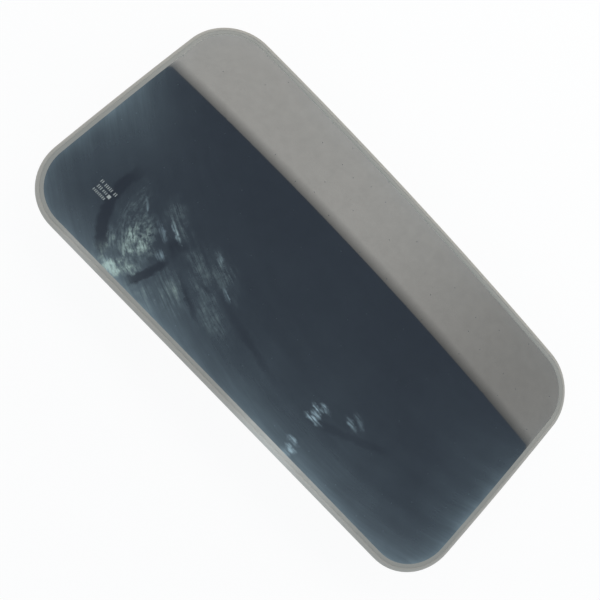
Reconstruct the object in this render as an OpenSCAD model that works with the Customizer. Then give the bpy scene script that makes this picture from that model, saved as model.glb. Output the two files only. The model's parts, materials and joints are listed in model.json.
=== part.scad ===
// Low-profile deck hatch: a crowned, tinted glass lid on a hinged frame, closing on a flanged base frame.
// Origin at the bottom centre, X along the long side, Y towards the hinges, Z up. Millimetres.

/* [Glass lid] */
// Length of the lid over its edge moulding
lid_l = 718; // [640:1:860]
// Width of the lid over its edge moulding
lid_w = 370; // [340:1:460]
// Corner radius of the lid over its edge moulding
corner_r = 71; // [64:1:110]
// Radius of the sphere that the outer face of the glass follows
crown_r = 3400; // [2600:50:8000]
// Thickness of the glass
glass_t = 6; // [5:0.5:8]

/* [Edge moulding] */
// Width of the moulding seen from above
rim_w = 11; // [9:0.5:14]
// Thickness of the moulding outside the edge of the glass
rim_wall = 4; // [3:0.25:5]
// Height of the moulding's crest above the glass
rim_crest = 1; // [0.6:0.1:2]
// Drop of the moulding's outer edge below its crest
rim_drop = 3.2; // [1.5:0.1:4]
// Thickness of the moulding under the glass
rim_foot = 2; // [1.5:0.1:2.4]
// Distance of the moulding's groove from the lid's edge
groove_in = 5.5; // [5:0.1:6.5]
// Width of the groove
groove_w = 1.1; // [0.8:0.1:1.5]
// Depth of the groove
groove_depth = 0.65; // [0.4:0.05:0.8]
// Drop of the moulding's inner lip below its crest
lip_drop = 0.2; // [0.1:0.05:0.4]

/* [Lid frame] */
// Thickness of the adhesive bead between glass and lid frame
bead_t = 2.5; // [1.5:0.1:4]
// Width of the adhesive bead
bead_w = 13; // [8:0.5:14]
// Thickness of the lid frame's bonding flange
frame_t = 2.5; // [2:0.1:4]
// Width of the bonding flange outside the skirt
frame_ledge = 17; // [15:0.5:22]
// Thickness of the skirt that hangs outside the seal
skirt_t = 3; // [2.5:0.1:4]
// Depth by which the skirt laps below the top of the coaming
skirt_lap = 5; // [3:0.5:8]
// Thickness of the inner leg that carries the latches
leg_t = 2.5; // [2:0.1:4]

/* [Seal] */
// Width of the lid gasket
gasket_w = 14; // [10:0.5:16]
// Height of the lid gasket, closed
gasket_h = 8; // [6:0.5:12]

/* [Base frame] */
// Thickness of the coaming and spigot wall
wall_t = 4; // [3:0.25:6]
// Thickness of the deck flange
flange_t = 4; // [3:0.25:6]
// Width of the deck flange outside the coaming
flange_w = 30; // [28:0.5:36]
// Depth of the spigot below the deck
spigot_h = 40; // [34:1:80]

/* [Deck screws] */
// Diameter of a deck screw hole
deck_hole_d = 5.5; // [4:0.1:6.5]
// Distance of the deck screw holes from the flange's outer edge
deck_hole_in = 10; // [8:0.5:12]
// Distance of the inner deck screw holes from the middle of each long side
deck_hole_inner = 50; // [30:1:90]
// Distance of the outer deck screw holes from the middle of each long side
deck_hole_outer = 140; // [105:1:150]
// Distance of the corner deck screw holes from the middle of each long side
deck_hole_corner = 270; // [262:1:290]
// Distance of the deck screw holes from the middle of each short side
deck_hole_end = 75; // [40:1:90]

/* [Hinges] */
// Distance of each hinge from the middle of the lid
hinge_x = 200; // [180:1:225]
// Diameter of the hinge pin
pin_d = 6; // [5:0.1:7]
// Outer diameter of the hinge knuckles
knuckle_d = 14; // [12:0.1:16]
// Width of the lid's hinge knuckle
knuckle_w = 20; // [16:0.5:26]
// Thickness of each ear of the hinge bracket
ear_t = 7; // [5:0.5:9]
// Thickness of a friction washer
friction_t = 1; // [0.8:0.1:1.6]
// Thickness of the hinge arm's leaf
leaf_t = 3; // [2.2:0.1:4]
// Height of the hinge arm's leaf
leaf_h = 12; // [10:0.5:14]
// Length of the hinge arm's leaf on each side of the knuckle
leaf_wing = 13; // [11:0.5:18]
// Thickness of the hinge bracket's foot
foot_t = 3; // [2.8:0.1:5]
// Wall of the bush in the lid's hinge knuckle
bush_wall = 1.5; // [1:0.1:2]

/* [Latches] */
// Distance of each latch from the middle of the lid
latch_x = 190; // [140:1:230]
// Distance of the latch spindle from the lid frame's inner leg
spindle_off = 15.5; // [14.5:0.5:20]
// Diameter of the latch spindle
spindle_d = 10; // [9:0.1:12]
// Height of the latch body
latch_h = 14; // [12:0.5:16]
// Length of the latch body's mounting plate
plate_l = 56; // [48:1:70]
// Thickness of the latch body's mounting plate
plate_t = 4; // [3:0.25:6]
// Wall of the latch body round the spindle
boss_wall = 8; // [5:0.5:9]
// Thickness of the latch dog
dog_t = 5; // [4:0.25:6]
// Width of the latch dog
dog_w = 12; // [9:0.5:16]
// Thickness of the washer between latch body and dog
washer_t = 1; // [0.6:0.1:2]
// Outer diameter of that washer
washer_d = 20; // [17:0.5:26]
// Height of the handle's hub
hub_h = 10; // [8:0.5:13]
// Diameter of the handle's hub
hub_d = 27; // [22:0.5:32]
// Length of the handle from the spindle to its tip
lever_l = 92; // [70:1:110]
// Width of the handle's grip at the hub
lever_w = 17; // [14:0.5:22]
// Width of the handle's grip at its tip
lever_tip_d = 13; // [10:0.5:16]
// Thickness of the handle's grip
lever_t = 8; // [6:0.5:10]
// Thickness of the keeper plate
keeper_t = 2.5; // [2.2:0.1:4]
// Thickness of the keeper's ledge
ledge_t = 3.5; // [2.5:0.1:5]
// Width of the keeper along the coaming
keeper_w = 44; // [38:1:60]
// Depth of the keeper plate below its ledge
keeper_drop = 17; // [14:0.5:24]

/* [Trim ring] */
// Width of the trim ring's flange
trim_w = 13; // [10:0.5:16]
// Thickness of the trim ring's flange
trim_t = 3; // [2:0.1:5]
// Height of the trim ring's collar
collar_h = 15; // [13:0.5:24]
// Thickness of the trim ring's collar
collar_t = 2.5; // [2:0.1:3]
// Distance of the outer trim screws from the middle of each long side
trim_screw_x = 200; // [150:1:260]

/* [Hidden] */

$fn = 64;
// Facets of the crown's sphere in a preview
ball_fn = 360;
LEFT = -1;
RIGHT = 1;
FRONT = -1;
BACK = 1;

// Clearances: parts that sit against each other, a pin in its bore, and parts that move past each other
seat_gap = 0.05;
run_gap = 0.05;
move_gap = 0.3;
// How far a cutting shape runs past the face that it cuts
past = 1;

// Screw sizes: shank and head diameters, with countersunk and pan heads
m5_d = 5;
m5_head_d = 10;
m4_d = 4;
m4_head_d = 7.6;
m35_d = 3.5;
m35_head_d = 6.6;
pan_h = 3.4;
// How much wider than its hole a deck screw's countersink is
deck_csk = 5;

// Distances from the lid's edge, inwards, to the faces of each ring
frame_gap = 2;
bead_edge = 2;
seal_space = 7;
leg_space = 11;
glass_in = rim_wall;
straight_x = lid_l / 2 - corner_r;
straight_y = lid_w / 2 - corner_r;
frame_in = rim_w + frame_gap;
bead_in = frame_in + bead_edge;
skirt_in = frame_in + frame_ledge;
skirt_out = skirt_in + skirt_t;
coaming_in = skirt_out + seal_space;
coaming_out = coaming_in + wall_t;
gasket_in = coaming_in + (wall_t - gasket_w) / 2;
leg_in = coaming_out + leg_space;
leg_out = leg_in + leg_t;
flange_in = coaming_in - flange_w;
deck_hole_line = flange_in + deck_hole_in;

// Levels of each layer, measured from the outer face of the glass
glass_under = -glass_t;
bead_under = glass_under - bead_t;
frame_under = bead_under - frame_t;
seat_level = frame_under - gasket_h;
skirt_level = seat_level - skirt_lap;
moulding_under = glass_under - rim_foot;

// Heights: the deck, the top of the flange, and the crown, which clears the flange at the skirt's corners
skirt_gap = 4;
deck_z = spigot_h;
flange_top = deck_z + flange_t;
skirt_corner = norm([straight_x, straight_y]) + corner_r - skirt_in;
crown_centre = flange_top + skirt_gap - sqrt(pow(crown_r + skirt_level, 2) - pow(skirt_corner, 2));
crown_top = crown_centre + crown_r;
ceiling = crown_top + rim_crest + 2 * past;

// Height of the crowned layer at a place on the lid
function crown_at(x, y, level) = crown_centre + sqrt(pow(crown_r + level, 2) - x * x - y * y);

// Hinges: the axis lies outside the skirt, under the bonding flange
leaf_gap = 2;
hinge_gap = 1.5;
ear_in = knuckle_w / 2 + friction_t + 2 * seat_gap;
ear_out = ear_in + ear_t;
foot_gap = 3;
foot_end = 7;
foot_screw_gap = 8;
foot_screw_x = ear_out + foot_screw_gap;
foot_l = 2 * (foot_screw_x + foot_end);
hinge_in = skirt_in - leaf_t - leaf_gap - knuckle_d / 2;
hinge_y = lid_w / 2 - hinge_in;
hinge_z = crown_at(hinge_x + ear_out, lid_w / 2 - frame_in, frame_under) - hinge_gap - knuckle_d / 2;
foot_top = flange_top + foot_t;
foot_y0 = lid_w / 2 - coaming_in + foot_gap;
foot_y1 = hinge_y + knuckle_d / 2;
foot_screw_y = (foot_y0 + foot_y1) / 2;
bush_d = pin_d + 2 * run_gap + 2 * bush_wall;
friction_edge = 0.5;
friction_d = knuckle_d - 2 * friction_edge;
pin_head_d = 11;
pin_head_h = 3;
nut_af = 10;
nut_h = 5;
leaf_l = knuckle_w + 2 * leaf_wing;
leaf_edge = 6;
leaf_screw_x = leaf_l / 2 - leaf_edge;
leaf_y = lid_w / 2 - skirt_in;
leaf_top = crown_at(hinge_x + leaf_l / 2, leaf_y + leaf_t, frame_under) - move_gap;
leaf_screw_z = leaf_top - leaf_h / 2;
arm_t = 8;

// Latches: the body hangs on the lid frame's inner leg, opposite the hinges
plate_edge = 6;
plate_screw_x = plate_l / 2 - plate_edge;
boss_d = spindle_d + 2 * boss_wall;
leg_y = leg_out - lid_w / 2;
spindle_y = leg_y + spindle_off;
latch_top = crown_at(latch_x + plate_l / 2, leg_y, frame_under);
latch_under = latch_top - latch_h;
spindle_lip = 3;
spindle_head_d = spindle_d + 2 * spindle_lip;
spindle_head_h = 2.5;
// The square end fits inside the spindle's round
key_w = 0.7 * spindle_d;
key_lap = 1;
handle_screw_head_d = key_w * sqrt(2) + key_lap;
dog_top = latch_under - washer_t - 2 * seat_gap;
dog_under = dog_top - dog_t;
hub_top = dog_under - seat_gap;
hub_under = hub_top - hub_h;
screw_depth = 12;

// Keepers: a ledge on the coaming that the dog turns under
dog_clear = 1.2;
ledge_gap = 0.8;
ledge_leg_gap = 1.5;
dog_reach = leg_out + spindle_off - coaming_out - keeper_t - dog_clear;
coaming_face = coaming_out - lid_w / 2;
ledge_under = dog_top + ledge_gap;
ledge_w = leg_in - ledge_leg_gap - coaming_out;
keeper_edge = 8;
keeper_screw_x = keeper_w / 2 - keeper_edge;
keeper_screw_z = ledge_under - keeper_drop / 2;

// Trim ring: a flanged collar round the foot of the spigot
trim_fit = 0.1;
trim_screw_z = (trim_t + collar_h) / 2;

// The moulding's rounded outer side, cut in steps: each a share of its wall and a share of its fall
step_shares = [[0.25, 1], [0.6, 0.55], [1, 0.2]];
moulding_steps = [for (s = step_shares) [s[0] * rim_wall, rim_crest - s[1] * rim_drop]];
moulding_chamfer = 1.2;
foot_short = 1;
groove_level = rim_crest - groove_depth;
lip_level = rim_crest - lip_drop;

// Drive sockets, as shares of a screw's diameter
socket_share = 0.6;
socket_deep = 0.4;

// Outline of the lid, drawn in by a distance from its edge
module outline(inset) {
    l = lid_l - 2 * inset;
    w = lid_w - 2 * inset;
    r = corner_r - inset;
    square([l - 2 * r, w], center = true);
    square([l, w - 2 * r], center = true);
    for (x = [-1, 1], y = [-1, 1]) translate([x * (l / 2 - r), y * (w / 2 - r)]) circle(r);
}

// Upright wall between two distances from the lid's edge
module wall(from_inset, to_inset, low, high) {
    translate([0, 0, low]) linear_extrude(high - low) difference() {
        outline(from_inset);
        outline(to_inset);
    }
}

// Everything under a level of the crown. The ball lies on its side, so its poles are far from the lid.
module crown_ball(level) {
    translate([0, 0, crown_centre]) rotate([90, 0, 0]) sphere(crown_r + level, $fn = ball_fn);
}

// The part of its children that lies between two levels of the crown
module crowned(low_level, high_level) {
    difference() {
        intersection() {
            children();
            crown_ball(high_level);
        }
        crown_ball(low_level);
    }
}

// Ring that follows the crown between two distances from the lid's edge and two levels
module crowned_ring(from_inset, to_inset, low_level, high_level) {
    crowned(low_level, high_level) wall(from_inset, to_inset, deck_z, ceiling);
}

// Places its children on the right, or mirrored on the left
module on_side(side) {
    if (side == LEFT) mirror([1, 0, 0]) children();
    else children();
}

// Countersunk screw, with its head's face at the origin and its shank along -Z
module countersunk_screw(d, head_d, length) {
    cone_h = (head_d - d) / 2;
    difference() {
        union() {
            translate([0, 0, -length]) cylinder(d = d, h = length);
            translate([0, 0, -cone_h]) cylinder(d1 = d, d2 = head_d, h = cone_h);
        }
        socket(d);
    }
}

// Hole for a countersunk screw, larger than the screw by a gap all round
module countersunk_hole(d, head_d, length, gap = run_gap) {
    cone_h = (head_d - d) / 2;
    translate([0, 0, -length - past]) cylinder(d = d + 2 * gap, h = length + past);
    translate([0, 0, -cone_h]) cylinder(d1 = d + 2 * gap, d2 = head_d + 2 * gap, h = cone_h);
    translate([0, 0, -gap / 2]) cylinder(d = head_d + 2 * gap, h = past);
}

// Hexagonal drive socket in the head of a screw of a diameter
module socket(d) {
    depth = socket_deep * d;
    translate([0, 0, -depth]) cylinder(d = socket_share * d / cos(30), h = depth + past, $fn = 6);
}

// Places of the screws, each with the head's face at the child's origin and the shank along its -Z
module at_foot_screws() {
    for (side = [LEFT, RIGHT], x = [-1, 1])
        translate([side * hinge_x + x * foot_screw_x, foot_screw_y, foot_top]) children();
}

module at_leaf_screws() {
    for (side = [LEFT, RIGHT], x = [-1, 1])
        translate([side * hinge_x + x * leaf_screw_x, leaf_y + leaf_t, leaf_screw_z])
            rotate([-90, 0, 0]) children();
}

module at_plate_screws() {
    for (side = [LEFT, RIGHT], x = [-1, 1])
        translate([side * latch_x + x * plate_screw_x, leg_y + plate_t, latch_under + latch_h / 2])
            rotate([-90, 0, 0]) children();
}

module at_keeper_screws() {
    for (side = [LEFT, RIGHT], x = [-1, 1])
        translate([side * latch_x + x * keeper_screw_x, coaming_face + keeper_t, keeper_screw_z])
            rotate([-90, 0, 0]) children();
}

module at_trim_screws() {
    half_l = lid_l / 2 - coaming_out;
    half_w = lid_w / 2 - coaming_out;
    for (x = [-trim_screw_x, 0, trim_screw_x], y = [-1, 1])
        translate([x, y * half_w, trim_screw_z]) rotate([y * 90, 0, 0]) children();
    for (x = [-1, 1]) translate([x * half_l, 0, trim_screw_z]) rotate([0, -x * 90, 0]) children();
}

module at_deck_holes() {
    half_l = lid_l / 2 - deck_hole_line;
    half_w = lid_w / 2 - deck_hole_line;
    for (x = [deck_hole_inner, deck_hole_outer, deck_hole_corner], sx = [-1, 1], sy = [-1, 1])
        translate([sx * x, sy * half_w, flange_top]) children();
    for (sx = [-1, 1], sy = [-1, 1]) translate([sx * half_l, sy * deck_hole_end, flange_top]) children();
}

// Base frame

module base_frame() {
    color("#b9bcbd") difference() {
        union() {
            intersection() {
                wall(coaming_in, coaming_out, 0, crown_top);
                crown_ball(seat_level);
            }
            wall(flange_in, coaming_in + wall_t / 2, deck_z, flange_top);
        }
        at_deck_holes() countersunk_hole(deck_hole_d, deck_hole_d + deck_csk, flange_t, 0);
        at_foot_screws() countersunk_hole(m5_d, m5_head_d, foot_t + flange_t);
        at_keeper_screws() countersunk_hole(m4_d, m4_head_d, keeper_t + wall_t);
        at_trim_screws() countersunk_hole(m35_d, m35_head_d, wall_t);
    }
}

module trim_ring() {
    color("#d9d9d4") difference() {
        union() {
            wall(coaming_in - trim_fit - collar_t, coaming_in - trim_fit, 0, collar_h);
            wall(coaming_in - trim_fit - trim_w, coaming_in - trim_fit - collar_t / 2, 0, trim_t);
        }
        at_trim_screws() countersunk_hole(m35_d, m35_head_d, wall_t + trim_fit + collar_t);
    }
}

module trim_screws() {
    color("#a9abad") at_trim_screws() countersunk_screw(m35_d, m35_head_d, wall_t + trim_fit + collar_t);
}

// Hinges

module hinge_bracket(side) {
    color("#8f9395") on_side(side) difference() {
        union() {
            translate([hinge_x - foot_l / 2, foot_y0, flange_top + seat_gap])
                cube([foot_l, foot_y1 - foot_y0, foot_t - seat_gap]);
            for (x = [-ear_out, ear_in]) translate([hinge_x + x, 0, 0]) {
                translate([0, hinge_y - knuckle_d / 2, foot_top - foot_t / 2])
                    cube([ear_t, knuckle_d, hinge_z - foot_top + foot_t / 2]);
                translate([0, hinge_y, hinge_z]) rotate([0, 90, 0]) cylinder(d = knuckle_d, h = ear_t);
            }
        }
        translate([hinge_x - ear_out - past, hinge_y, hinge_z])
            rotate([0, 90, 0]) cylinder(d = pin_d + 2 * run_gap, h = 2 * (ear_out + past));
        at_foot_screws() countersunk_hole(m5_d, m5_head_d, foot_t + flange_t);
    }
}

module hinge_bracket_left() { hinge_bracket(LEFT); }
module hinge_bracket_right() { hinge_bracket(RIGHT); }

module hinge_bracket_screws() {
    color("#a9abad") at_foot_screws() countersunk_screw(m5_d, m5_head_d, foot_t + flange_t);
}

// Shoulder bolt, with its socket head towards the middle of the hatch
module hinge_pin(side) {
    head_x = hinge_x - ear_out - seat_gap;
    color("#c4c6c8") on_side(side) translate([head_x, hinge_y, hinge_z]) rotate([0, 90, 0]) difference() {
        union() {
            cylinder(d = pin_d, h = 2 * ear_out + 2 * seat_gap + nut_h);
            translate([0, 0, -pin_head_h]) cylinder(d = pin_head_d, h = pin_head_h);
        }
        translate([0, 0, -pin_head_h]) mirror([0, 0, 1]) socket(pin_d);
    }
}

module hinge_pin_left() { hinge_pin(LEFT); }
module hinge_pin_right() { hinge_pin(RIGHT); }

module hinge_friction_washers() {
    color("#2d2e30") for (side = [LEFT, RIGHT]) on_side(side)
        for (x = [-knuckle_w / 2 - friction_t - seat_gap, knuckle_w / 2 + seat_gap])
            translate([hinge_x + x, hinge_y, hinge_z]) rotate([0, 90, 0]) difference() {
                cylinder(d = friction_d, h = friction_t);
                translate([0, 0, -past]) cylinder(d = pin_d + 2 * run_gap, h = friction_t + 2 * past);
            }
}

module hinge_lock_nuts() {
    color("#c4c6c8") for (side = [LEFT, RIGHT]) on_side(side)
        translate([hinge_x + ear_out + seat_gap, hinge_y, hinge_z]) rotate([0, 90, 0]) difference() {
            cylinder(d = nut_af / cos(30), h = nut_h, $fn = 6);
            translate([0, 0, -past]) cylinder(d = pin_d + 2 * run_gap, h = nut_h + 2 * past);
        }
}

module hinge_arm(side) {
    color("#8f9395") on_side(side) difference() {
        union() {
            translate([hinge_x - leaf_l / 2, leaf_y + seat_gap, leaf_top - leaf_h])
                cube([leaf_l, leaf_t - seat_gap, leaf_h]);
            translate([hinge_x - knuckle_w / 2, leaf_y + leaf_t / 2, hinge_z - arm_t / 2])
                cube([knuckle_w, hinge_y - leaf_y - leaf_t / 2, arm_t]);
            translate([hinge_x - knuckle_w / 2, hinge_y, hinge_z])
                rotate([0, 90, 0]) cylinder(d = knuckle_d, h = knuckle_w);
        }
        translate([hinge_x - knuckle_w / 2 - past, hinge_y, hinge_z])
            rotate([0, 90, 0]) cylinder(d = bush_d + 2 * seat_gap, h = knuckle_w + 2 * past);
        at_leaf_screws() countersunk_hole(m4_d, m4_head_d, leaf_t + skirt_t);
    }
}

module hinge_arm_left() { hinge_arm(LEFT); }
module hinge_arm_right() { hinge_arm(RIGHT); }

module hinge_arm_screws() {
    color("#a9abad") at_leaf_screws() countersunk_screw(m4_d, m4_head_d, leaf_t + skirt_t);
}

module hinge_bushes() {
    color("#e6e3d8") for (side = [LEFT, RIGHT]) on_side(side)
        translate([hinge_x - knuckle_w / 2, hinge_y, hinge_z]) rotate([0, 90, 0]) difference() {
            cylinder(d = bush_d, h = knuckle_w);
            translate([0, 0, -past]) cylinder(d = pin_d + 2 * run_gap, h = knuckle_w + 2 * past);
        }
}

// Lid

module glass_pane() {
    color("#27303a") crowned(glass_under, 0)
        translate([0, 0, deck_z]) linear_extrude(ceiling - deck_z) outline(glass_in);
}

// Channel section round the glass: a stepped outer side, a groove along the top, a lip over the glass
module edge_moulding() {
    inner = rim_w + past;
    above = rim_crest + past;
    below = moulding_under - past;
    color("#8f9089") difference() {
        crowned_ring(0, rim_w, moulding_under, rim_crest);
        crowned_ring(rim_wall - seat_gap, inner, glass_under - seat_gap, seat_gap);
        crowned_ring(rim_w - foot_short, inner, below, glass_under);
        for (s = moulding_steps) crowned_ring(-past, s[0], s[1], above);
        crowned_ring(-past, moulding_steps[0][0], below, moulding_under + moulding_chamfer);
        crowned_ring(groove_in, groove_in + groove_w, groove_level, above);
        crowned_ring(groove_in + groove_w / 2, inner, lip_level, above);
    }
}

module bonding_bead() {
    color("#17181a") crowned_ring(bead_in, bead_in + bead_w, bead_under + seat_gap, glass_under - seat_gap);
}

// Lid frame: a bonding flange with a skirt and an inner leg, in four rails that meet at mitred corner bends
module lid_section() {
    difference() {
        crowned_ring(frame_in, leg_out, skirt_level, bead_under);
        intersection() {
            union() {
                wall(frame_in - past, skirt_in, 0, crown_top);
                wall(skirt_out, leg_in, 0, crown_top);
            }
            crown_ball(frame_under);
        }
    }
}

// The room of one rail, out along +Y between the middles of two corner bends
module rail_room(half, start) {
    linear_extrude(ceiling) polygon([
        [-half, start],
        [half, start],
        [half + corner_r, start + corner_r],
        [-half - corner_r, start + corner_r]
    ]);
}

// Rail along a long side, drilled for the hinge arms at the back and the latches at the front
module long_rail(side) {
    color("#b9bcbd") difference() {
        intersection() {
            lid_section();
            mirror([0, side == FRONT ? 1 : 0, 0]) rail_room(straight_x, straight_y);
        }
        at_leaf_screws() countersunk_hole(m4_d, m4_head_d, leaf_t + skirt_t);
        at_plate_screws() countersunk_hole(m4_d, m4_head_d, plate_t + leg_t);
    }
}

module lid_rail_front() { long_rail(FRONT); }
module lid_rail_back() { long_rail(BACK); }

// Rail along a short side
module short_rail(side) {
    color("#b9bcbd") on_side(side) intersection() {
        lid_section();
        rotate([0, 0, -90]) rail_room(straight_y, straight_x + seat_gap);
    }
}

module lid_rail_left() { short_rail(LEFT); }
module lid_rail_right() { short_rail(RIGHT); }

module lid_gasket() {
    color("#1c1d1f")
        crowned_ring(gasket_in, gasket_in + gasket_w, seat_level + move_gap, frame_under - seat_gap);
}

// Latches

module latch_body(side) {
    color("#55595c") on_side(side) difference() {
        union() {
            translate([latch_x - plate_l / 2, leg_y + seat_gap, latch_under])
                cube([plate_l, plate_t - seat_gap, latch_h]);
            translate([latch_x - boss_d / 2, leg_y + plate_t / 2, latch_under])
                cube([boss_d, spindle_off - plate_t / 2, latch_h]);
            translate([latch_x, spindle_y, latch_under]) cylinder(d = boss_d, h = latch_h);
        }
        translate([latch_x, spindle_y, latch_under - past])
            cylinder(d = spindle_d + 2 * run_gap, h = latch_h + 2 * past);
        at_plate_screws() countersunk_hole(m4_d, m4_head_d, plate_t + leg_t);
    }
}

module latch_body_left() { latch_body(LEFT); }
module latch_body_right() { latch_body(RIGHT); }

module latch_body_screws() {
    color("#a9abad") at_plate_screws() countersunk_screw(m4_d, m4_head_d, plate_t + leg_t);
}

// Headed spindle: round in the latch body, square where it drives the dog and the handle
module latch_spindle(side) {
    color("#c4c6c8") on_side(side) translate([latch_x, spindle_y, 0]) difference() {
        union() {
            translate([0, 0, latch_top + seat_gap]) cylinder(d = spindle_head_d, h = spindle_head_h);
            translate([0, 0, dog_top]) cylinder(d = spindle_d, h = latch_top + seat_gap - dog_top);
            translate([-key_w / 2, -key_w / 2, hub_under + seat_gap])
                cube([key_w, key_w, dog_top - hub_under - seat_gap]);
        }
        translate([0, 0, hub_under - past])
            cylinder(d = m4_d + 2 * run_gap, h = screw_depth + past + seat_gap);
    }
}

module latch_spindle_left() { latch_spindle(LEFT); }
module latch_spindle_right() { latch_spindle(RIGHT); }

module key_hole(low, high) {
    side = key_w + 2 * run_gap;
    translate([-side / 2, -side / 2, low - past]) cube([side, side, high - low + 2 * past]);
}

// Dog that turns under the keeper. At rest it lies along the coaming, clear of the keeper.
module latch_dog(side) {
    dog_arm = dog_reach - dog_w / 2;
    color("#c4c6c8") on_side(side) translate([latch_x, spindle_y, 0]) difference() {
        union() {
            translate([0, 0, dog_under]) cylinder(d = washer_d, h = dog_t);
            translate([-dog_arm, -dog_w / 2, dog_under]) cube([dog_arm, dog_w, dog_t]);
            translate([-dog_arm, 0, dog_under]) cylinder(d = dog_w, h = dog_t);
        }
        key_hole(dog_under, dog_top);
    }
}

module latch_dog_left() { latch_dog(LEFT); }
module latch_dog_right() { latch_dog(RIGHT); }

module latch_washer(side) {
    color("#e6e3d8") on_side(side) translate([latch_x, spindle_y, dog_top + seat_gap]) difference() {
        cylinder(d = washer_d, h = washer_t);
        translate([0, 0, -past]) cylinder(d = spindle_d + 2 * run_gap, h = washer_t + 2 * past);
    }
}

module latch_washer_left() { latch_washer(LEFT); }
module latch_washer_right() { latch_washer(RIGHT); }

// Handle: a hub with a flat grip that narrows towards its round tip
module handle(side) {
    tip_r = lever_tip_d / 2;
    tip_y = lever_l - tip_r;
    color("#2b2d2f") on_side(side) translate([latch_x, spindle_y, 0]) difference() {
        union() {
            translate([0, 0, hub_under]) cylinder(d = hub_d, h = hub_h);
            translate([0, 0, hub_under]) linear_extrude(lever_t)
                polygon([[-lever_w / 2, 0], [lever_w / 2, 0], [tip_r, tip_y], [-tip_r, tip_y]]);
            translate([0, tip_y, hub_under]) cylinder(d = lever_tip_d, h = lever_t);
        }
        key_hole(hub_under, hub_top);
    }
}

module handle_left() { handle(LEFT); }
module handle_right() { handle(RIGHT); }

// Pan-head screw that holds the handle and the dog on the spindle
module handle_screw(side) {
    color("#a9abad") on_side(side) translate([latch_x, spindle_y, hub_under]) difference() {
        union() {
            translate([0, 0, -seat_gap - pan_h]) cylinder(d = handle_screw_head_d, h = pan_h);
            translate([0, 0, -seat_gap]) cylinder(d = m4_d, h = screw_depth);
        }
        translate([0, 0, -seat_gap - pan_h]) mirror([0, 0, 1]) socket(m4_d);
    }
}

module handle_screw_left() { handle_screw(LEFT); }
module handle_screw_right() { handle_screw(RIGHT); }

// Keepers

module keeper(side) {
    color("#c4c6c8") on_side(side) difference() {
        union() {
            translate([latch_x - keeper_w / 2, coaming_face + seat_gap, ledge_under - keeper_drop])
                cube([keeper_w, keeper_t - seat_gap, keeper_drop + ledge_t]);
            translate([latch_x - keeper_w / 2, coaming_face + keeper_t / 2, ledge_under])
                cube([keeper_w, ledge_w - keeper_t / 2, ledge_t]);
        }
        at_keeper_screws() countersunk_hole(m4_d, m4_head_d, keeper_t + wall_t);
    }
}

module keeper_left() { keeper(LEFT); }
module keeper_right() { keeper(RIGHT); }

module keeper_screws() {
    color("#a9abad") at_keeper_screws() countersunk_screw(m4_d, m4_head_d, keeper_t + wall_t);
}

base_frame();
trim_ring();
trim_screws();
hinge_bracket_left();
hinge_bracket_right();
hinge_bracket_screws();
hinge_pin_left();
hinge_pin_right();
hinge_friction_washers();
hinge_lock_nuts();
keeper_left();
keeper_right();
keeper_screws();
glass_pane();
edge_moulding();
bonding_bead();
lid_rail_front();
lid_rail_back();
lid_rail_left();
lid_rail_right();
lid_gasket();
hinge_arm_left();
hinge_arm_right();
hinge_arm_screws();
hinge_bushes();
latch_body_left();
latch_body_right();
latch_body_screws();
handle_left();
latch_spindle_left();
latch_dog_left();
latch_washer_left();
handle_screw_left();
handle_right();
latch_spindle_right();
latch_dog_right();
latch_washer_right();
handle_screw_right();
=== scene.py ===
import json
import math

import bmesh
import bpy
from mathutils import Euler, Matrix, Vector


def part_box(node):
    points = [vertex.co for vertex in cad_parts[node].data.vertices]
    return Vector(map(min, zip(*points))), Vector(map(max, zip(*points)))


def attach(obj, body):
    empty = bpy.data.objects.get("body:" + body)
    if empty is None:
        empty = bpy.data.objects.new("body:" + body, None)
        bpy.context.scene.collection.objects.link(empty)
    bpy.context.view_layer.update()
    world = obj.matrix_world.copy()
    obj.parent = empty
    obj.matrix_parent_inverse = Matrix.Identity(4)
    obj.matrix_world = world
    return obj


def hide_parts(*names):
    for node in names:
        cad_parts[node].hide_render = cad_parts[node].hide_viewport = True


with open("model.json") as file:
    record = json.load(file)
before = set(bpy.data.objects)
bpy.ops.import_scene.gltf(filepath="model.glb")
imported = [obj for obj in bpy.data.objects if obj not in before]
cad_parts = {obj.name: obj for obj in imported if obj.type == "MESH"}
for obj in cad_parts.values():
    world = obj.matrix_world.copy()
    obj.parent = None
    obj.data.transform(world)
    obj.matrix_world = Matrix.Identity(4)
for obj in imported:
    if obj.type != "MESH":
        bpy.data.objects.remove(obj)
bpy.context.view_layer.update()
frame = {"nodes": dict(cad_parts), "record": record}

# Sizes are in millimetres, and are turned to metres where a mesh, a modifier or a pattern takes them.
# The lid's plan comes from the frame, and insets run inwards from its outer edge.
MM = 0.001
lid_low, lid_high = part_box("edge_moulding")
LID_L, LID_W, _ = (lid_high - lid_low) / MM
CORNER_R = 71
CROWN_R = 3400
CROWN_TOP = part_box("glass_pane")[1].z / MM
GLASS_T = 6
GLASS_IN = 4
GLASS_EASE = 1.2
# Soft pieces stay this far off the glass
OFF_GLASS = 0.05
# Corners deep inside the lid keep a bend of at least this share of the half width there
LEAST_BEND = 0.05
QUARTER = math.radians(90)

# Steps along the lid's outline: each long side, short side and corner
LONG_STEPS = 36
SHORT_STEPS = 14
CORNER_STEPS = 20

# Points this close are one point, and edges that turn more than this are sharp
TOUCH = 0.001
CREASE = math.radians(40)


def crowned(x, y, level):
    """Point over a place on the lid, level above the outer face of the crowned glass, in metres."""
    z = CROWN_TOP - CROWN_R + math.sqrt((CROWN_R + level) ** 2 - x * x - y * y)
    return x * MM, y * MM, z * MM


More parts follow.
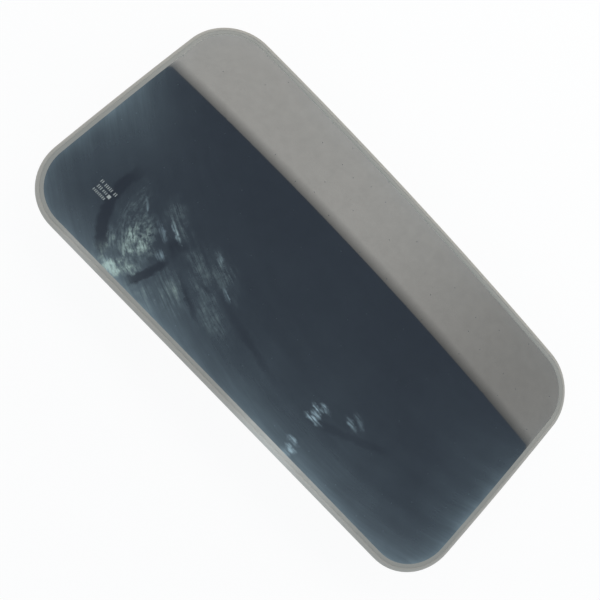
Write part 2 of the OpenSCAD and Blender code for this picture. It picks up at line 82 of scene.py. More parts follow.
def outline(inset):
    """Points of the lid's outline, drawn in by inset. Each inset gives as many points."""
    r = max(CORNER_R - inset, LEAST_BEND * (LID_W / 2 - inset))
    half_x = LID_L / 2 - inset - r
    half_y = LID_W / 2 - inset - r
    corners = [(half_x, half_y), (-half_x, half_y), (-half_x, -half_y), (half_x, -half_y)]
    points = []
    for turn, (cx, cy) in enumerate(corners):
        for i in range(CORNER_STEPS):
            a = QUARTER * (turn + i / CORNER_STEPS)
            points.append((cx + r * math.cos(a), cy + r * math.sin(a)))
        a = QUARTER * (turn + 1)
        start = Vector((cx + r * math.cos(a), cy + r * math.sin(a)))
        nx, ny = corners[(turn + 1) % 4]
        end = Vector((nx + r * math.cos(a), ny + r * math.sin(a)))
        steps = SHORT_STEPS if turn % 2 else LONG_STEPS
        points += [tuple(start.lerp(end, i / steps)) for i in range(steps)]
    return points


def arc(inset, level, r, start, end, steps):
    """Points of an arc in a section, from one angle to another in degrees."""
    angles = [math.radians(start + (end - start) * i / steps) for i in range(steps + 1)]
    return [(inset + r * math.cos(a), level + r * math.sin(a)) for a in angles]


def mesh_object(name, verts, faces, material):
    """A mesh of one material, put into the scene."""
    mesh = bpy.data.meshes.new(name)
    mesh.from_pydata(verts, [], faces)
    mesh.materials.append(material)
    obj = bpy.data.objects.new(name, mesh)
    bpy.context.scene.collection.objects.link(obj)
    return obj


def piece(name, verts, faces, body, slot, *nodes, material=None):
    """A new piece with smooth faces, which rides on a body and stands for CAD nodes."""
    obj = mesh_object(name, verts, faces, material or FINISHES[slot])
    obj.data.shade_smooth()
    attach(obj, body)
    if nodes:
        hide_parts(*nodes)
    return obj


def ring_faces(rings, count, closed):
    """Quads between rings of count points, numbered ring by ring."""
    pairs = [(k, k + 1) for k in range(rings - 1)] + ([(rings - 1, 0)] if closed else [])
    return [
        (a * count + i, a * count + (i + 1) % count, b * count + (i + 1) % count, b * count + i)
        for a, b in pairs
        for i in range(count)
    ]


def measure(obj, name, values):
    """Keeps a value for each ring of a mesh, for its material to read."""
    count = len(obj.data.vertices) // len(values)
    layer = obj.data.attributes.new(name, "FLOAT", "POINT")
    layer.data.foreach_set("value", [v for v in values for _ in range(count)])


def outwards(obj):
    """Joins the points of a closed mesh that meet, and turns its faces outwards."""
    bm = bmesh.new()
    bm.from_mesh(obj.data)
    bmesh.ops.remove_doubles(bm, verts=bm.verts, dist=TOUCH * MM)
    bmesh.ops.recalc_face_normals(bm, faces=bm.faces)
    bm.to_mesh(obj.data)
    bm.free()


def carried(name, section, closed, slot, *nodes, material=None):
    """A piece of the lid: a section of (inset, level) points, carried round the crown."""
    rings = [[crowned(x, y, level) for x, y in outline(inset)] for inset, level in section]
    verts = [p for ring in rings for p in ring]
    faces = ring_faces(len(rings), len(rings[0]), closed)
    obj = piece(name, verts, faces, "lid", slot, *nodes, material=material)
    measure(obj, "inset", [inset for inset, _ in section])
    return obj


def sweep(name, section, slot, *nodes, material=None):
    """A solid of the lid with a closed section. It also keeps how far round the section each ring lies."""
    obj = carried(name, section, True, slot, *nodes, material=material)
    reach = [0.0]
    for (u0, v0), (u1, v1) in zip(section, section[1:]):
        reach.append(reach[-1] + math.hypot(u1 - u0, v1 - v0))
    measure(obj, "across", reach)
    outwards(obj)
    obj.data.set_sharp_from_angle(angle=CREASE)
    return obj


def modify(obj, name, kind, **settings):
    """Adds a modifier with its settings."""
    modifier = obj.modifiers.new(name, kind)
    for key, value in settings.items():
        setattr(modifier, key, value)


# Materials. Fine grains, scratches and die lines are drawn coarser than real ones, so that they show.

# A Mix node's colours among its inputs, and its mixed colour among its outputs
COLOUR_A = 6
COLOUR_B = 7
MIXED = 2


def rgb(code):
    """Linear colour of an sRGB hex value."""
    parts = [int(code[i : i + 2], 16) / 255 for i in (1, 3, 5)]
    return (*[c / 12.92 if c <= 0.04045 else ((c + 0.055) / 1.055) ** 2.4 for c in parts], 1.0)


def per(size):
    """Scale of a pattern whose grain is size millimetres."""
    return 1 / (size * MM)


def fill(tree, socket, value):
    """Gives an input a value, or links another node's output to it."""
    if isinstance(value, bpy.types.NodeSocket):
        tree.links.new(value, socket)
    else:
        socket.default_value = value


def add(owner, kind, inputs=(), out=0, **settings):
    """Adds a node to a material, a world or a node group, and gives one of its outputs. Its inputs
    are a list in order, or named. A MapRange list is value, from low, from high, to low, to high."""
    tree = owner if isinstance(owner, bpy.types.NodeTree) else owner.node_tree
    node = tree.nodes.new(kind if "Node" in kind else "ShaderNode" + kind)
    for name, value in settings.items():
        setattr(node, name, value)
    named = inputs if isinstance(inputs, dict) else dict(enumerate(inputs))
    for key, value in named.items():
        fill(tree, node.inputs[key], value)
    return node.outputs[out] if node.outputs else None


def feed(mat, **values):
    """Gives inputs of a material's shader a value, or the output of another node."""
    shader = mat.node_tree.nodes["Principled BSDF"]
    for key, value in values.items():
        fill(mat.node_tree, shader.inputs[key.replace("_", " ")], value)


def finish(name, **constants):
    """A material with what is the same all over its surface, and the place there for patterns to read."""
    mat = bpy.data.materials.new(name)
    mat.use_nodes = True
    feed(mat, **constants)
    return mat, add(mat, "TexCoord", out="Object")


def paint(mat, dark, light, mask, rough, bump=None, height=0.0):
    """Colour and roughness between two values by a mask, and relief from a pattern, height in mm."""
    ends = [rgb(c) if isinstance(c, str) else c for c in (dark, light)]
    tone = add(mat, "Mix", {0: mask, COLOUR_A: ends[0], COLOUR_B: ends[1]}, MIXED, data_type="RGBA")
    feed(mat, Base_Color=tone, Roughness=add(mat, "MapRange", [mask, 0.0, 1.0, *rough]))
    if bump is not None:
        feed(mat, Normal=add(mat, "Bump", {"Height": bump, "Strength": 1.0, "Distance": height * MM}))


# Marks on the lid: x, y, length, width, turn in degrees, strength
SWIRLED = [
    (-206, -126, 108, 62, -60, 0.55),
    (-236, -96, 100, 46, -72, 0.13),
    (-228, -152, 60, 34, -60, 0.36),
    (-192, -150, 64, 44, -20, 0.42),
    (-204, -166, 44, 26, -10, 1.0),
]
DRAWN = [
    (-153, -166, 80, 40, 0, 0.1),
    (-128, -138, 96, 50, -26, 0.11),
    (-84, -118, 140, 44, -16, 0.09),
    (-124, -92, 110, 48, -20, 0.1),
    (-100, -76, 120, 44, -16, 0.08),
    (-188, -70, 90, 44, -28, 0.11),
]
STROKES = [
    (-181, -81, 52, 8, -25, 0.5),
    (-193, -93, 50, 10, -25, 0.32),
    (-228, -85, 40, 6, -40, 0.3),
    (-171, -115, 22, 15, -20, 0.36),
    (-204, -168, 30, 16, -20, 0.5),
    (-116, -67, 28, 10, -30, 0.3),
    (-80, -92, 30, 8, -22, 0.4),
    (99, -106, 28, 8, -4, 0.8),
    (107, -100, 26, 9, -8, 0.75),
    (103, -113, 22, 12, -4, 0.75),
    (105, -120, 36, 9, 4, 0.85),
    (145, -90, 34, 10, -12, 0.42),
    (150, -80, 40, 12, -20, 0.2),
    (106, -156, 28, 8, -2, 0.75),
    (110, -165, 26, 9, -4, 0.7),
    (110, -173, 26, 11, -6, 0.6),
]
WIPED_CLEAN = [
    (-166, -92, 46, 22, 28, 0.9),
    (-168, -98, 44, 16, -32, 0.9),
    (-112, -127, 92, 11, -24, 0.8),
    (-104, -104, 36, 9, 4, 0.6),
    (-20, -112, 190, 18, -12, 0.6),
]
# Painted light: pale patches along the front of the moulding, where light falls on it
PAINTED_LIGHT_PATCHES = [
    (92, -182, 220, 60, 0, 0.55),
    (150, -182, 260, 60, 0, 0.3),
    (-240, -182, 120, 60, 0, 0.15),
]
# Clean sweeps of the cloth: centre x, y, radius, width, then middle and half angle in degrees, strength
SWEPT_CLEAN = [
    (-172, -80, 96, 20, 203, 44, 1.0),
    (-262, -114, 100, 15, -15, 20, 0.85),
    (-130, 623, 780, 13, -68.6, 5.0, 0.45),
]
# The cloth swung about these places, so its lines are arcs, wide ones and a tight swirl: x, y, facing
WIDE = (139, 622, -90)
WIDE_R = 780
SWIRL = (-172, -80, 200)
SWIRL_R = 96
# Lines that it left along those arcs: width, length, and roughness of their noise
HAIR_LINES = (2.6, 40, 0.6)
BROAD_BANDS = (16, 190, 0.5)
DRAGS = (4, 60, 0.7)
CURLS = (3.2, 17, 0.65)
# Ragged edges of the marks: grain of the noise that pushes them, and its reach
TORN = (22, 30)
FRAYED = (8, 10)
# Haze along the moulding, which the cloth doesn't reach: level, and how far it runs in from the lip
EDGE_HAZE = [(0.11, 8), (0.15, 48)]
LIP_IN = 11
# Haze elsewhere: its level, its clouds, and the share of it that is left at the back
HAZE = 0.018
HAZE_CLOUD = 120
HAZE_BACK_Y = 90
HAZE_FRONT_Y = -40
HAZE_BACK = 0.25
# Specks of dust: their spacing, their edge and core as shares of it, the share of places with none, and
# what they add to the film
SPECK_SPACING = 30
SPECK_EDGE = 0.03
SPECK_CORE = 0.015
SPECK_NONE = 0.5
SPECK_FILM = 0.1
# Mottling of the grease, and faint clouding of the gloss
MOTTLE = 13
CLOUDING = 16
# Height is divided by this, so that a mark reaches through the crown
FLATTEN = 1000
# Lines to the millimetre along the run of the moulding and of the seal
MOULDING_LINES = 3.0
SEAL_LINES = 2.5
# How far in the moulding's lip ends and its shoulder begins
LIP_END = 7.5
SHOULDER_START = 3.5


def from_mark(mat, where, x, y, turn, long=1, wide=1):
    """A place as seen from a mark: off its centre, along its turn, in its own length and width."""
    own = {
        "Vector": where,
        "Location": (x * MM, y * MM, 0),
        "Rotation": (0, 0, math.radians(turn)),
        "Scale": (long, wide, FLATTEN),
    }
    return add(mat, "Mapping", own, vector_type="TEXTURE")


def about(mat, where, x, y, facing):
    """Distance from a centre, and the angle round it from the way it faces."""
    local = from_mark(mat, where, x, y, facing)
    axes = add(mat, "SeparateXYZ", [local]).node.outputs
    radius = add(mat, "VectorMath", [local], "Value", operation="LENGTH")
    return radius, add(mat, "Math", [axes["Y"], axes["X"]], operation="ARCTAN2")


def streaks(mat, swing, reach, wide, long, roughness):
    """Noise drawn out along arcs, each streak wide by long at a reach from the centre of the swing."""
    polar = add(mat, "CombineXYZ", swing)
    drawn = add(mat, "Mapping", {"Vector": polar, "Scale": (per(wide), reach * MM * per(long), 1)})
    return add(mat, "TexNoise", {"Vector": drawn, "Scale": 1.0, "Detail": 5.0, "Roughness": roughness})


def jittered(mat, place, grain, reach):
    """Places pushed about by up to half a reach, so that what is drawn there has ragged edges."""
    noise = add(mat, "TexNoise", {"Vector": place, "Scale": per(grain), "Detail": 4.0}, "Color")
    push = add(mat, "VectorMath", [noise, (0.5, 0.5, 0.5)], operation="SUBTRACT")
    return add(mat, "VectorMath", [push, [reach * MM] * 3, place], operation="MULTIPLY_ADD")


def spots(mat, marks, where):
    """The strongest of the marks at a place, each an oval that fades out to its edge."""
    strongest = 0.0
    for x, y, length, width, turn, strength in marks:
        local = from_mark(mat, where, x, y, turn, length / 2 * MM, width / 2 * MM)
        away = add(mat, "VectorMath", [local], "Value", operation="LENGTH")
        near = add(mat, "MapRange", [away, 1.0, 0.0, 0.0, strength], interpolation_type="SMOOTHSTEP")
        strongest = add(mat, "Math", [strongest, near], operation="MAXIMUM")
    return strongest


def sweeps(mat, marks, where, strongest):
    """The strongest of the marks at a place and what is there already, each a band along an arc.
    A band is full within a fifth of its width and half of its angle, and fades out from there."""
    for x, y, radius, width, middle, half, strength in marks:
        r, angle = about(mat, where, x, y, middle)
        side = add(mat, "Math", [r, radius * MM], operation="SUBTRACT")
        aside = add(mat, "Math", [side], operation="ABSOLUTE")
        within = [aside, width / 2 * MM, width / 5 * MM, 0.0, strength]
        band = add(mat, "MapRange", within, interpolation_type="SMOOTHSTEP")
        ahead = add(mat, "Math", [angle], operation="ABSOLUTE")
        ends = [ahead, math.radians(half), math.radians(half / 2)]
        run = add(mat, "MapRange", ends, interpolation_type="SMOOTHSTEP")
        near = add(mat, "Math", [band, run], operation="MULTIPLY")
        strongest = add(mat, "Math", [strongest, near], operation="MAXIMUM")
    return strongest


def smears(mat, place, wiping):
    """Grease on the glass: curled where the cloth swirled, streaked where it was drawn along, mottled."""
    torn = jittered(mat, place, *TORN)
    curls = streaks(mat, about(mat, place, *SWIRL), SWIRL_R, *CURLS)
    curled = add(mat, "MapRange", [curls, 0.38, 0.64, 0.1, 1.3])
    swirled = add(mat, "Math", [spots(mat, SWIRLED, torn), curled], operation="MULTIPLY")
    drags = streaks(mat, wiping, WIDE_R, *DRAGS)
    dragged = add(mat, "MapRange", [drags, 0.4, 0.66, 0.1, 2.4])
    drawn = add(mat, "Math", [spots(mat, DRAWN, torn), dragged], operation="MULTIPLY")
    greased = add(mat, "Math", [swirled, drawn], operation="MAXIMUM")
    grained = {"Vector": place, "Scale": per(MOTTLE), "Detail": 6.0, "Roughness": 0.7}
    grain = add(mat, "TexNoise", grained)
    mottle = add(mat, "MapRange", [grain, 0.36, 0.64, 0.25, 1.5])
    return add(mat, "Math", [greased, mottle], operation="MULTIPLY")


def haze(mat, place, *lines):
    """Haze on the glass: heavier along the moulding and at the front, cloudy, and lined by the cloth."""
    inset = add(mat, "Attribute", out="Fac", attribute_name="inset")
    level = HAZE
    for strength, reach in EDGE_HAZE:
        deep = add(mat, "Math", [inset, -1 / reach, LIP_IN / reach], operation="MULTIPLY_ADD")
        falling = add(mat, "Math", [deep], operation="EXPONENT")
        level = add(mat, "Math", [falling, strength, level], operation="MULTIPLY_ADD")
    y = add(mat, "SeparateXYZ", [place], "Y")
    fading = [y, HAZE_BACK_Y * MM, HAZE_FRONT_Y * MM, HAZE_BACK]
    front = add(mat, "MapRange", fading, interpolation_type="SMOOTHSTEP")
    cloud = add(mat, "TexNoise", {"Vector": place, "Scale": per(HAZE_CLOUD), "Detail": 5.0})
    uneven = add(mat, "MapRange", [cloud, 0.3, 0.7, 0.6, 1.4])
    for share in (front, uneven, *lines):
        level = add(mat, "Math", [level, share], operation="MULTIPLY")
    return level


def dust(mat, place, upper):
    """A few specks on the upper face of the glass."""
    cells = {"Vector": place, "Scale": per(SPECK_SPACING)}
    away = add(mat, "TexVoronoi", cells, "Distance", voronoi_dimensions="2D")
    speck = add(mat, "MapRange", [away, SPECK_EDGE, SPECK_CORE])
    few = add(mat, "Math", [away.node.outputs["Color"], SPECK_NONE], operation="GREATER_THAN")
    shown = add(mat, "Math", [upper, speck], operation="MULTIPLY")
    return add(mat, "Math", [shown, few], operation="MULTIPLY")


def tinted_glass():
    """Toughened float glass, tinted nearly black and coated, so it mirrors what is above it.
    Smears, strokes of a cloth, haze and dust on its upper face catch the light as a thin pale film."""
    mat, place = finish("tinted_toughened_glass", IOR=1.52, Coat_IOR=1.85, Coat_Roughness=0.015)
    facing = add(mat, "SeparateXYZ", [add(mat, "TexCoord", out="Normal")], "Z")
    upper = add(mat, "MapRange", [facing, 0.1, 0.5])

    # Lines along the cloth's arcs: faint in the haze, strong as hairs in its strokes
    wiping = about(mat, place, *WIDE)
    lines = streaks(mat, wiping, WIDE_R, *HAIR_LINES)
    fine = add(mat, "MapRange", [lines, 0.35, 0.65, 0.92, 1.08])
    hairs = add(mat, "MapRange", [lines, 0.42, 0.62, 0.25, 1.3])
    bands = streaks(mat, wiping, WIDE_R, *BROAD_BANDS)
    broad = add(mat, "MapRange", [bands, 0.34, 0.66, 0.85, 1.15])
    frayed = jittered(mat, place, *FRAYED)
    stroked = add(mat, "Math", [spots(mat, STROKES, frayed), hairs], operation="MULTIPLY")
    cleaned = sweeps(mat, SWEPT_CLEAN, frayed, spots(mat, WIPED_CLEAN, frayed))
    left = add(mat, "Math", [1.0, cleaned], operation="SUBTRACT")

    # The film on the upper face: haze, smears and dust where they weren't wiped off, and the strokes
    smeared = smears(mat, place, wiping)
    specks = dust(mat, place, upper)
    greasy = add(mat, "Math", [haze(mat, place, fine, broad), smeared], operation="ADD")
    soiled = add(mat, "Math", [specks, SPECK_FILM, greasy], operation="MULTIPLY_ADD")
    layer = add(mat, "Math", [soiled, left, stroked], operation="MULTIPLY_ADD")
    film = add(mat, "Math", [layer, upper], operation="MULTIPLY", use_clamp=True)

    # The film hides the glass, dulls what it mirrors, and is greener where it is greasy
    clear = add(mat, "MapRange", [film, 0.0, 0.4, 0.16, 0.0])
    breathed = {"Vector": place, "Scale": per(CLOUDING), "Detail": 6.0, "Roughness": 0.7}
    breath = add(mat, "TexNoise", breathed)
    clouded = add(mat, "MapRange", [breath, 0.35, 0.7, 0.0, 0.1])
    marked = add(mat, "Math", [specks, film], operation="MAXIMUM")
    dull = add(mat, "Math", [upper, clouded, marked], operation="MULTIPLY_ADD")
    gloss = add(mat, "MapRange", [dull, 0.03, 0.75, 1.0, 0.1])
    feed(mat, Transmission_Weight=clear, Coat_Weight=gloss)
    grease = add(mat, "MapRange", [smeared, 0.0, 0.3])
    ends = {0: grease, COLOUR_A: rgb("#b0c5cc"), COLOUR_B: rgb("#bccfc6")}
    pale = add(mat, "Mix", ends, MIXED, data_type="RGBA")
    paint(mat, "#0f1317", pale, film, rough=(0.02, 0.5))
    return mat


def edge_rubber():
    """Extruded grey rubber: matt on its shoulder, with fine lines along its run and a little chalking,
    and darker and smoother on the lip beside the glass. Its front has painted light in pale patches."""
    mat, place = finish("extruded_grey_rubber", IOR=1.5)
    across = add(mat, "Attribute", out="Fac", attribute_name="across")
    inset = add(mat, "Attribute", out="Fac", attribute_name="inset")
    die = {"W": across, "Scale": MOULDING_LINES, "Detail": 2.0}
    lines = add(mat, "TexNoise", die, noise_dimensions="1D")
    chalk = add(mat, "TexNoise", {"Vector": place, "Scale": per(60), "Detail": 6.0})
    mixed = add(mat, "Math", [lines, 0.3, chalk], operation="MULTIPLY_ADD")
    chalky = add(mat, "MapRange", [mixed, 0.45, 0.85])
    turning = [inset, LIP_END, SHOULDER_START]
    shoulder = add(mat, "MapRange", turning, interpolation_type="SMOOTHSTEP")
    mask = add(mat, "Math", [chalky, 0.25, shoulder], operation="MULTIPLY_ADD")
    grain = add(mat, "TexNoise", {"Vector": place, "Scale": per(0.9), "Detail": 3.0})
    relief = add(mat, "Math", [grain, lines], operation="ADD")
    # Painted light: pale patches along the front of the moulding, mixed into both tones towards a near
    # white
    painted_light = spots(mat, PAINTED_LIGHT_PATCHES, jittered(mat, place, *TORN))
    ends = []
    for code in ("#9f9c94", "#b0aaa0"):
        lit_tones = {0: painted_light, COLOUR_A: rgb(code), COLOUR_B: rgb("#e6e3da")}
        ends.append(add(mat, "Mix", lit_tones, MIXED, data_type="RGBA"))
    paint(mat, *ends, mask, rough=(0.3, 0.52), bump=relief, height=0.04)
    return mat


def adhesive():
    """Gunned polyurethane: black, with a soft sheen and ripples from the nozzle."""
    mat, place = finish("polyurethane_adhesive", IOR=1.5)
    ripple = add(mat, "TexNoise", {"Vector": place, "Scale": per(7), "Detail": 2.0})
    paint(mat, "#101113", "#1d1e21", ripple, rough=(0.3, 0.5), bump=ripple, height=0.5)
    return mat


def anodised_aluminium():
    """Extruded aluminium, etched and anodised: satin silver with faint die lines along its run.
    The lines follow how far out from the rounded rectangle of the corners' centres a place lies."""
    mat, place = finish("satin_anodised_aluminium", Metallic=1.0)
    core = [(LID_L / 2 - CORNER_R) * MM, (LID_W / 2 - CORNER_R) * MM, 0]
    mirrored = add(mat, "VectorMath", [place], operation="ABSOLUTE")
    past = add(mat, "VectorMath", [mirrored, core], operation="SUBTRACT")
    outer = add(mat, "VectorMath", [past, (0, 0, 0)], operation="MAXIMUM")
    level = add(mat, "VectorMath", [outer, (1, 1, 0)], operation="MULTIPLY")
    reach = add(mat, "VectorMath", [level], "Value", operation="LENGTH")
    along = add(mat, "VectorMath", [place, (1, 1, 0)], "Value", operation="DOT_PRODUCT")
    height = add(mat, "SeparateXYZ", [place], "Z")
    section = add(mat, "CombineXYZ", [reach, height, along])
    drawn = add(mat, "Mapping", {"Vector": section, "Scale": (per(0.7), per(0.7), per(140))})
    lines = add(mat, "TexNoise", {"Vector": drawn, "Scale": 1.0, "Detail": 4.0})
    etch = add(mat, "TexNoise", {"Vector": place, "Scale": per(0.6), "Detail": 2.0})
    cloud = add(mat, "TexNoise", {"Vector": place, "Scale": per(60), "Detail": 4.0})
    both = add(mat, "Math", [lines, cloud], operation="ADD")
    mask = add(mat, "MapRange", [both, 0.75, 1.3])
    relief = add(mat, "Math", [etch, lines], operation="ADD")
    paint(mat, "#b4b7b9", "#cbcdce", mask, rough=(0.3, 0.44), bump=relief, height=0.02)
    return mat


def stainless_steel():
    """Turned and pressed stainless steel: bright grey with fine satin scratches."""
    mat, place = finish("satin_stainless_steel", Metallic=1.0)
    drawn = add(mat, "Mapping", {"Vector": place, "Scale": (per(9), per(0.35), per(0.35))})
    scratch = add(mat, "TexNoise", {"Vector": drawn, "Scale": 1.0, "Detail": 4.0})
    cloud = add(mat, "TexNoise", {"Vector": place, "Scale": per(12), "Detail": 3.0})
    both = add(mat, "Math", [scratch, cloud], operation="ADD")
    mask = add(mat, "MapRange", [both, 0.75, 1.25])
    paint(mat, "#a9aaab", "#c6c7c8", mask, rough=(0.24, 0.4), bump=scratch, height=0.015)
    return mat


def cast_aluminium():
    """Sand-cast and tumbled aluminium: dull grey, with a soft pebbled skin."""
    mat, place = finish("tumbled_cast_aluminium", Metallic=1.0)
    pebble = add(mat, "TexNoise", {"Vector": place, "Scale": per(1.3), "Detail": 4.0})
    cloud = add(mat, "TexNoise", {"Vector": place, "Scale": per(15), "Detail": 4.0})
    mask = add(mat, "MapRange", [cloud, 0.35, 0.65])
    paint(mat, "#8d9092", "#a5a8aa", mask, rough=(0.38, 0.52), bump=pebble, height=0.12)
    return mat


def powder_coat():
    """Dark grey powder coat over a casting: even orange peel, half matt."""
    mat, place = finish("grey_powder_coat", IOR=1.5)
    peel = add(mat, "TexNoise", {"Vector": place, "Scale": per(1.6), "Detail": 2.0})
    cloud = add(mat, "TexNoise", {"Vector": place, "Scale": per(25), "Detail": 3.0})
    mask = add(mat, "MapRange", [cloud, 0.3, 0.7])
    paint(mat, "#4d5153", "#595d60", mask, rough=(0.42, 0.55), bump=peel, height=0.1)
    return mat


def filled_nylon():
    """Glass-filled nylon, moulded: near black, spark-grained, with pale fibre flecks."""
    mat, place = finish("glass_filled_nylon", IOR=1.53)
    grain = add(mat, "TexNoise", {"Vector": place, "Scale": per(0.8), "Detail": 3.0})
    fleck = add(mat, "TexNoise", {"Vector": place, "Scale": per(3), "Detail": 6.0})
    mask = add(mat, "MapRange", [fleck, 0.4, 0.75])
    paint(mat, "#232527", "#3a3d3f", mask, rough=(0.42, 0.6), bump=grain, height=0.07)
    return mat


def natural_nylon():
    """Turned natural nylon: waxy off-white, slightly see-through."""
    mat, place = finish("natural_nylon", IOR=1.53, Subsurface_Weight=0.2, Subsurface_Scale=1.5 * MM)
    rings = add(mat, "TexNoise", {"Vector": place, "Scale": per(0.7), "Detail": 2.0})
    cloud = add(mat, "TexNoise", {"Vector": place, "Scale": per(8), "Detail": 3.0})
    paint(mat, "#ddd8ca", "#ebe7dc", cloud, rough=(0.36, 0.5), bump=rings, height=0.03)
    return mat


def friction_disc():
    """Pressed friction material: dark grey with lighter fibres, dry and matt."""
    mat, place = finish("pressed_friction_material", IOR=1.5)
    fibre = add(mat, "TexNoise", {"Vector": place, "Scale": per(0.9), "Detail": 5.0})
    mask = add(mat, "MapRange", [fibre, 0.45, 0.7])
    paint(mat, "#2a2b2d", "#55534e", mask, rough=(0.7, 0.85), bump=fibre, height=0.05)
    return mat


def trim_plastic():
    """Moulded ABS, off-white with a fine leather-like grain."""
    mat, place = finish("grained_abs", IOR=1.54)
    grain = add(mat, "TexVoronoi", {"Vector": place, "Scale": per(1.1)}, "Distance", feature="SMOOTH_F1")
    cloud = add(mat, "TexNoise", {"Vector": place, "Scale": per(40), "Detail": 4.0})
    mask = add(mat, "MapRange", [cloud, 0.3, 0.7])
    paint(mat, "#d2d2cc", "#deded9", mask, rough=(0.42, 0.52), bump=grain, height=0.06)
    return mat


def seal_rubber():
    """Extruded EPDM: matt black with a grey bloom and lines along its run."""
    mat, place = finish("extruded_epdm", IOR=1.5, Specular_IOR_Level=0.35)
    across = add(mat, "Attribute", out="Fac", attribute_name="across")
    die = {"W": across, "Scale": SEAL_LINES, "Detail": 2.0}
    lines = add(mat, "TexNoise", die, noise_dimensions="1D")
    bloom = add(mat, "TexNoise", {"Vector": place, "Scale": per(30), "Detail": 6.0})
    mask = add(mat, "MapRange", [bloom, 0.35, 0.75])
    paint(mat, "#161719", "#2b2c2e", mask, rough=(0.6, 0.8), bump=lines, height=0.05)
    return mat


def enamel(name, dark, light):
    """Screen-printed ceramic enamel, fired on the glass: matt and slightly mottled."""
    mat, place = finish(name, IOR=1.5)
    mottle = add(mat, "TexNoise", {"Vector": place, "Scale": per(2), "Detail": 4.0})
    paint(mat, dark, light, mottle, rough=(0.5, 0.65), bump=mottle, height=0.02)
    return mat


FINISHES = {
    "tinted_glass": tinted_glass(),
    "edge_rubber": edge_rubber(),
    "adhesive": adhesive(),
    "anodised_aluminium": anodised_aluminium(),
    "seal_rubber": seal_rubber(),
    "stainless_steel": stainless_steel(),
    "hinge_casting": cast_aluminium(),
    "latch_casting": powder_coat(),
    "handle_nylon": filled_nylon(),
    "bearing_nylon": natural_nylon(),
    "friction_disc": friction_disc(),
    "trim_plastic": trim_plastic(),
}

# CAD nodes: each takes its slot's finish, and its edges are eased as they would be in the making
EASED = {"anodised_aluminium": 0.5, "hinge_casting": 1.0, "latch_casting": 1.0, "trim_plastic": 0.6}
EASED_OTHER = 0.25
EASE_STEPS = 2
# An edge turns more than this, faces that turn less than this are one flat, and seams are this wide
EDGE_TURN = math.radians(35)
FLAT_TURN = math.radians(0.5)
SEAM = 0.002
AT_EDGES = {"limit_method": "ANGLE", "angle_limit": EDGE_TURN}


def soft_shading():
    """Nodes that shade a mesh smooth, apart from edges that turn more than EDGE_TURN."""
    group = bpy.data.node_groups.new("soft_shading", "GeometryNodeTree")
    for way in ("INPUT", "OUTPUT"):
        group.interface.new_socket("Geometry", in_out=way, socket_type="NodeSocketGeometry")
    faces = add(group, "GeometryNodeSetShadeSmooth", [add(group, "NodeGroupInput")])
    turn = add(group, "GeometryNodeInputMeshEdgeAngle", out="Unsigned Angle")
    gentle = add(group, "FunctionNodeCompare", [turn, EDGE_TURN], operation="LESS_THAN")
    by_edge = {0: faces, "Shade Smooth": gentle}
    add(group, "NodeGroupOutput", [add(group, "GeometryNodeSetShadeSmooth", by_edge, domain="EDGE")])
    return group


shading = soft_shading()
for row in frame["record"]["subparts"]:
    obj = frame["nodes"][row["node"]]
    obj.data.materials.clear()
    obj.data.materials.append(FINISHES[row["material_slot"]])
    ease = EASED.get(row["material_slot"], EASED_OTHER) * MM
    modify(obj, "weld", "WELD", merge_threshold=SEAM * MM)
    modify(obj, "flat", "DECIMATE", decimate_type="DISSOLVE", angle_limit=FLAT_TURN)
    modify(obj, "ease", "BEVEL", width=ease, segments=EASE_STEPS, **AT_EDGES)
    modify(obj, "soft", "NODES", node_group=shading)
    modify(obj, "even", "WEIGHTED_NORMAL", keep_sharp=True)


# Pieces of the lid, drawn as sections of (inset, level) points


def glass_pane():
    """Crowned pane with eased edges: rings from the middle underneath, round the edge, to the top."""
    rows = 14
    crowding = 0.8
    bend_steps = 5
    half = LID_W / 2 - GLASS_IN
    flat = [GLASS_IN + half * (1 - (i / rows) ** crowding) for i in range(rows)]
    bend = GLASS_IN + GLASS_EASE
    under = [(inset, -GLASS_T) for inset in flat]
    under_bend = arc(bend, GLASS_EASE - GLASS_T, GLASS_EASE, 270, 180, bend_steps)
    top_bend = arc(bend, -GLASS_EASE, GLASS_EASE, 180, 90, bend_steps)
    top = [(inset, 0.0) for inset in reversed(flat)]
    section = under + under_bend + top_bend + top
    outwards(carried("crowned_glass", section, False, "tinted_glass", "glass_pane"))


def edge_moulding():
    """Channel round the glass: rounded shoulder, fine groove, thin lip on the glass, foot under it."""
    wide, tall, spring = 4.6, 3.4, -2.4
    turns = [math.radians(a) for a in range(0, 91, 9)]
    shoulder = [(wide - wide * math.cos(a), spring + tall * math.sin(a)) for a in turns]
    land = [(5.3, 0.94)]
    groove = arc(6.05, 0.74, 0.3, 180, 360, 6)
    lip = [(6.6, 0.72), (7.6, 0.7), (9.3, 0.42), (10.85, 0.0)]
    edge, under, end = GLASS_IN - OFF_GLASS, -GLASS_T - OFF_GLASS, 9.8
    channel = [(edge, OFF_GLASS), (edge, under), (end, under)]
    toe = arc(9.7, -6.35, 0.3, 60, 0, 2) + arc(9.6, -7.6, 0.4, 0, -90, 4)
    heel = arc(1.2, -6.8, 1.2, -90, -180, 6)
    section = toe + heel + shoulder + land + groove + lip + channel
    sweep("moulded_edge", section, "edge_rubber", "edge_moulding")


def bonding_bead():
    """Bead of adhesive, squeezed between glass and lid frame so that its sides bulge."""
    low, high = -8.45, -GLASS_T - OFF_GLASS
    outer, inner = 15, 28
    bulge = (high - low) / 2
    middle = (low + high) / 2
    section = arc(outer + bulge, middle, bulge, 270, 90, 8) + arc(inner - bulge, middle, bulge, 90, -90, 8)
    sweep("squeezed_bead", section, "adhesive", "bonding_bead")


